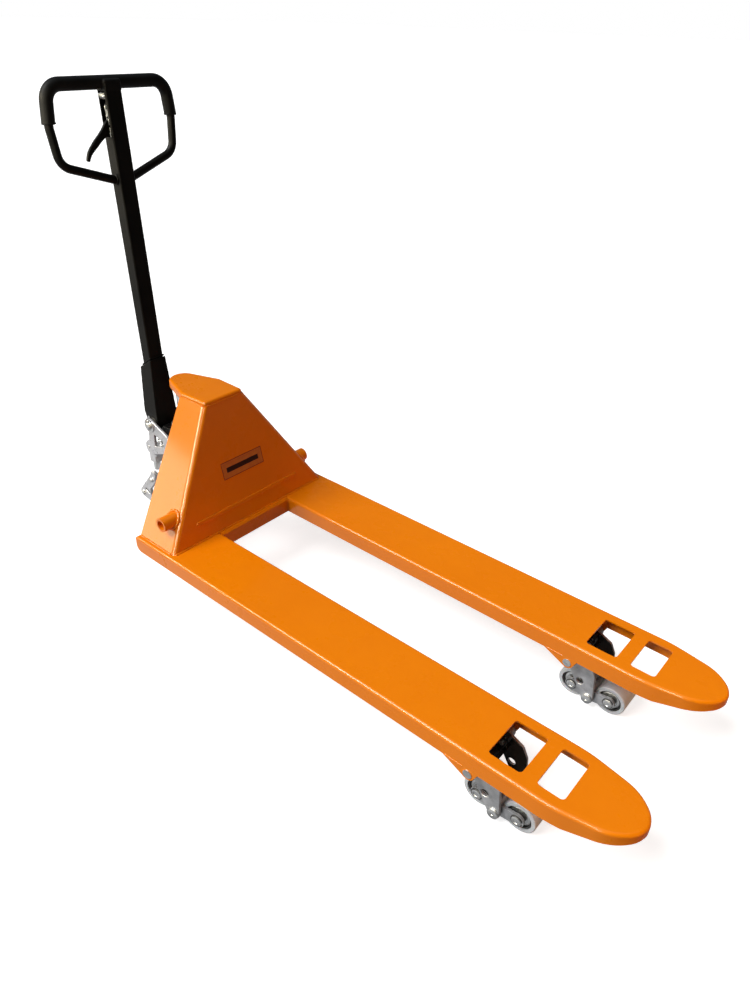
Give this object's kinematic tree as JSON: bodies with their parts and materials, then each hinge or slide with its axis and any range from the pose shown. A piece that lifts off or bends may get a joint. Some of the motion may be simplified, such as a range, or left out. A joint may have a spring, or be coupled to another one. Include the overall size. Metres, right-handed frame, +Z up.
{
  "type": "pallet jack",
  "caption": "Hand pallet truck with two forks, tandem load rollers, a hydraulic hand pump, two steering wheels and a pivoting handle.",
  "frame": {"origin": "centre of the whole truck's box, on the ground", "axes": "+X towards the fork tips, +Y to the left of a person pushing the truck, +Z up"},
  "size_m": [1.686, 0.563, 1.2225],
  "materials": {
    "orange_paint": "gloss",
    "black_paint": "satin",
    "black_grip": "satin",
    "cast_zinc": "plated",
    "plated_steel": "plated",
    "chrome_steel": "polished",
    "roller_polymer": "satin",
    "dark_hub": "satin",
    "wheel_polymer": "satin",
    "wheel_hub": "cast"
  },
  "bodies": {
    "bearing_seat": {"bearing_seat": "cast_zinc", "thrust_bearing": "plated_steel"},
    "chassis": {"left_fork": "orange_paint", "right_fork": "orange_paint", "tower_plate": "orange_paint", "tower_tie": "orange_paint", "cap_plate": "orange_paint", "crossmember": "orange_paint", "rocker_bushes": "orange_paint", "load_arm_lugs": "orange_paint", "load_arm_pins": "plated_steel", "ram": "chrome_steel"},
    "rocker": {"rocker_shaft": "plated_steel", "rocker_arms": "orange_paint"},
    "pump": {"pump_body": "cast_zinc", "gland_nut": "plated_steel", "wheel_axle": "plated_steel", "axle_clips": "plated_steel", "handle_pivot_pin": "plated_steel", "pump_plugs": "plated_steel", "valve_lever_pin": "plated_steel"},
    "plunger": {"plunger": "chrome_steel", "plunger_spring": "plated_steel"},
    "valve_lever": {"valve_lever": "cast_zinc"},
    "handle": {"handle_yoke": "black_paint", "handle_tube": "black_paint", "loop_bar": "black_paint", "grip_cover": "black_grip", "cam_roller_pin": "plated_steel", "lever_pin": "black_paint", "detent_pin": "plated_steel"},
    "cam_roller": {"cam_roller": "plated_steel"},
    "release_lever": {"release_lever": "black_paint"},
    "pull_chain": {"pull_chain": "plated_steel"},
    "left_push_rod": {"left_push_rod": "black_paint"},
    "left_load_arm": {"left_load_arm": "cast_zinc", "left_rod_pin": "plated_steel"},
    "left_bogie_pin": {"left_bogie_pin": "plated_steel"},
    "left_bogie": {"left_link_plates": "cast_zinc", "left_roller_axles": "plated_steel"},
    "left_rear_roller": {"left_rear_roller_tyre": "roller_polymer", "left_rear_roller_hub": "dark_hub"},
    "left_front_roller": {"left_front_roller_tyre": "roller_polymer", "left_front_roller_hub": "dark_hub"},
    "left_wheel": {"left_wheel_tyre": "wheel_polymer", "left_wheel_hub": "wheel_hub"},
    "right_push_rod": {"right_push_rod": "black_paint"},
    "right_load_arm": {"right_load_arm": "cast_zinc", "right_rod_pin": "plated_steel"},
    "right_bogie_pin": {"right_bogie_pin": "plated_steel"},
    "right_bogie": {"right_link_plates": "cast_zinc", "right_roller_axles": "plated_steel"},
    "right_rear_roller": {"right_rear_roller_tyre": "roller_polymer", "right_rear_roller_hub": "dark_hub"},
    "right_front_roller": {"right_front_roller_tyre": "roller_polymer", "right_front_roller_hub": "dark_hub"},
    "right_wheel": {"right_wheel_tyre": "wheel_polymer", "right_wheel_hub": "wheel_hub"}
  },
  "joints": [
    {"name": "steer", "type": "hinge", "parent": "bearing_seat", "child": "pump", "pos_m": [-0.639, 0, 0.1], "axis": [0, 0, 1], "range_deg": [-100, 100]},
    {"name": "lift", "type": "slide", "parent": "bearing_seat", "child": "chassis", "axis": [0, 0, 1], "range_m": [-0.109, 0]},
    {"name": "rocker_turn", "type": "hinge", "parent": "chassis", "child": "rocker", "pos_m": [-0.439, 0, 0.254], "axis": [0, 1, 0], "range_deg": [-1, 31.49]},
    {"name": "left_rod_slide", "type": "slide", "parent": "chassis", "child": "left_push_rod", "axis": [1, 0, 0], "range_m": [-0.04517, 0.001]},
    {"name": "left_arm_turn", "type": "hinge", "parent": "chassis", "child": "left_load_arm", "pos_m": [0.521, 0.2, 0.128], "axis": [0, 1, 0], "range_deg": [-67.68, 1]},
    {"name": "left_pin_turn", "type": "hinge", "parent": "left_load_arm", "child": "left_bogie_pin", "pos_m": [0.57522, 0.2, 0.03], "axis": [0, 1, 0], "range_deg": [-1, 67.68]},
    {"name": "left_bogie_rock", "type": "hinge", "parent": "left_bogie_pin", "child": "left_bogie", "pos_m": [0.57522, 0.2, 0.03], "axis": [0, 1, 0], "range_deg": [-10, 10]},
    {"name": "left_rear_roller_spin", "type": "hinge", "parent": "left_bogie", "child": "left_rear_roller", "pos_m": [0.52872, 0.2, 0.037], "axis": [0, 1, 0], "continuous": true},
    {"name": "left_front_roller_spin", "type": "hinge", "parent": "left_bogie", "child": "left_front_roller", "pos_m": [0.62172, 0.2, 0.037], "axis": [0, 1, 0], "continuous": true},
    {"name": "left_wheel_spin", "type": "hinge", "parent": "pump", "child": "left_wheel", "pos_m": [-0.639, 0.054, 0.09], "axis": [0, 1, 0], "continuous": true},
    {"name": "right_rod_slide", "type": "slide", "parent": "chassis", "child": "right_push_rod", "axis": [1, 0, 0], "range_m": [-0.04517, 0.001]},
    {"name": "right_arm_turn", "type": "hinge", "parent": "chassis", "child": "right_load_arm", "pos_m": [0.521, -0.2, 0.128], "axis": [0, 1, 0], "range_deg": [-67.68, 1]},
    {"name": "right_pin_turn", "type": "hinge", "parent": "right_load_arm", "child": "right_bogie_pin", "pos_m": [0.57522, -0.2, 0.03], "axis": [0, 1, 0], "range_deg": [-1, 67.68]},
    {"name": "right_bogie_rock", "type": "hinge", "parent": "right_bogie_pin", "child": "right_bogie", "pos_m": [0.57522, -0.2, 0.03], "axis": [0, 1, 0], "range_deg": [-10, 10]},
    {"name": "right_rear_roller_spin", "type": "hinge", "parent": "right_bogie", "child": "right_rear_roller", "pos_m": [0.52872, -0.2, 0.037], "axis": [0, 1, 0], "continuous": true},
    {"name": "right_front_roller_spin", "type": "hinge", "parent": "right_bogie", "child": "right_front_roller", "pos_m": [0.62172, -0.2, 0.037], "axis": [0, 1, 0], "continuous": true},
    {"name": "right_wheel_spin", "type": "hinge", "parent": "pump", "child": "right_wheel", "pos_m": [-0.639, -0.054, 0.09], "axis": [0, 1, 0], "continuous": true},
    {"name": "handle_tilt", "type": "hinge", "parent": "pump", "child": "handle", "pos_m": [-0.761, 0, 0.345], "axis": [0, -1, 0], "range_deg": [0, 80], "stiffness_Nm_per_rad": 18, "springref_deg": -28.65},
    {"name": "plunger_push", "type": "slide", "parent": "pump", "child": "plunger", "axis": [0, 0, -1], "range_m": [0, 0.0295], "deforming": ["plunger_spring"]},
    {"name": "cam_roller_spin", "type": "hinge", "parent": "handle", "child": "cam_roller", "pos_m": [-0.779, 0, 0.36], "axis": [0, 1, 0], "continuous": true},
    {"name": "release_squeeze", "type": "hinge", "parent": "handle", "child": "release_lever", "pos_m": [-0.794, -0.004, 1.118], "axis": [-0.9992, 0, -0.0407], "range_deg": [-10, 14], "stiffness_Nm_per_rad": 2},
    {"name": "chain_pull", "type": "slide", "parent": "handle", "child": "pull_chain", "axis": [-0.0407, 0, 0.9992], "range_m": [-0.003, 0.004]},
    {"name": "valve_turn", "type": "hinge", "parent": "pump", "child": "valve_lever", "pos_m": [-0.773, 0, 0.163], "axis": [0, 1, 0], "range_deg": [-8, 10]}
  ],
  "couplings": [
    {"joint": "rocker_turn", "follows": "lift", "rad_per_m": -4.8815},
    {"joint": "left_rod_slide", "follows": "lift", "ratio": 0.40522},
    {"joint": "left_arm_turn", "follows": "lift", "rad_per_m": 10.677},
    {"joint": "left_pin_turn", "follows": "lift", "rad_per_m": -10.677},
    {"joint": "right_rod_slide", "follows": "lift", "ratio": 0.40522},
    {"joint": "right_arm_turn", "follows": "lift", "rad_per_m": 10.677},
    {"joint": "right_pin_turn", "follows": "lift", "rad_per_m": -10.677},
    {"joint": "plunger_push", "follows": "handle_tilt", "m_per_rad": 0.02077},
    {"joint": "chain_pull", "follows": "release_squeeze", "m_per_rad": 0.014},
    {"joint": "valve_turn", "follows": "release_squeeze", "ratio": 0.56}
  ]
}
